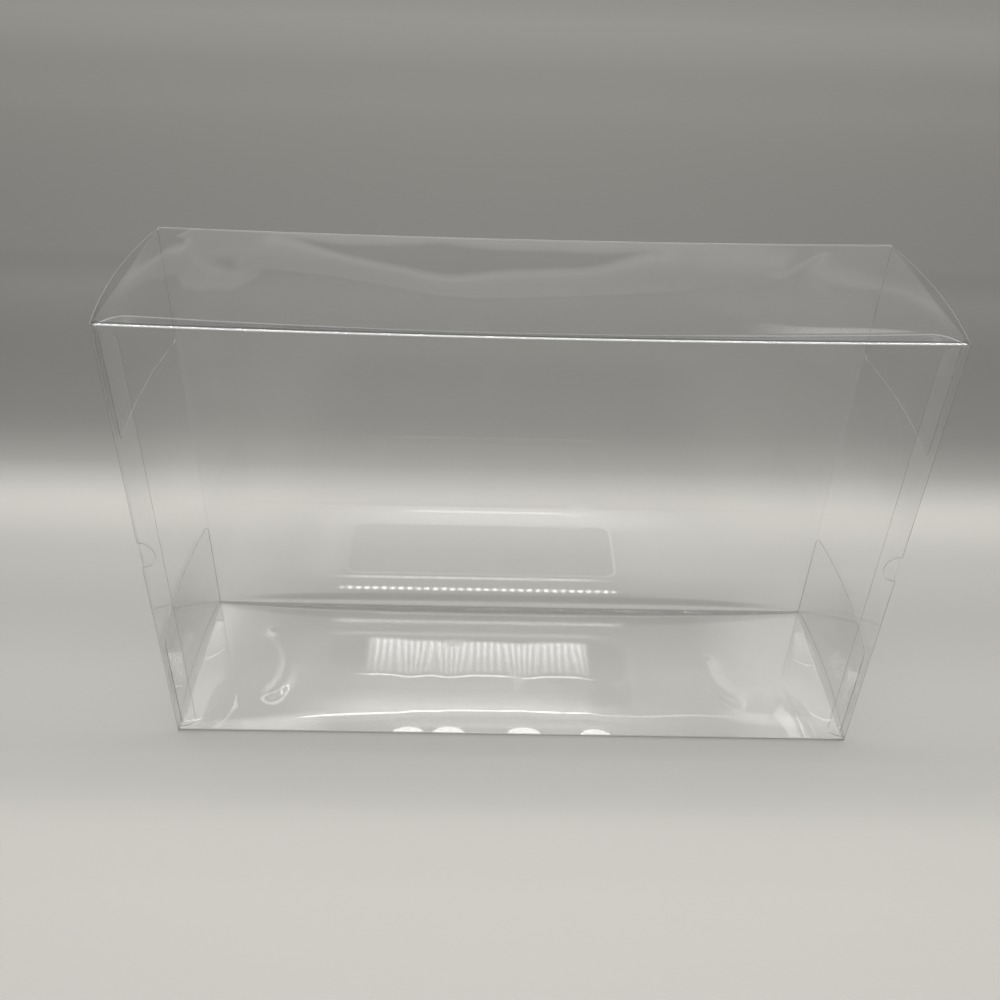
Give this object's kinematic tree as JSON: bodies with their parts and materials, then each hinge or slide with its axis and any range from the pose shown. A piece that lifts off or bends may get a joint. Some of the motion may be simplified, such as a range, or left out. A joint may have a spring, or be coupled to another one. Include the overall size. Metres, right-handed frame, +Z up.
{
  "type": "clear box protector",
  "caption": "Clear folded plastic carton that slips over a boxed product, with a glued lap, dust flaps and tuck-in end lids that swing open.",
  "frame": {"origin": "middle of the base, on the surface that the carton stands on", "axes": "+X along the width towards the right end, +Y from the front panel to the back panel, +Z up"},
  "size_m": [0.369, 0.1054, 0.24],
  "materials": {
    "clear_film": "clear glossy plastic film with bright creases"
  },
  "bodies": {
    "sleeve": {"sleeve": "clear_film"},
    "left_lid": {"left_lid": "clear_film"},
    "right_lid": {"right_lid": "clear_film"}
  },
  "joints": [
    {"name": "left_lid_hinge", "type": "hinge", "parent": "sleeve", "child": "left_lid", "pos_m": [-0.17975, 0.0525, 0.12], "axis": [0, 0, -1], "range_deg": [0, 180]},
    {"name": "right_lid_hinge", "type": "hinge", "parent": "sleeve", "child": "right_lid", "pos_m": [0.17975, 0.0525, 0.12], "axis": [0, 0, 1], "range_deg": [0, 180]}
  ]
}
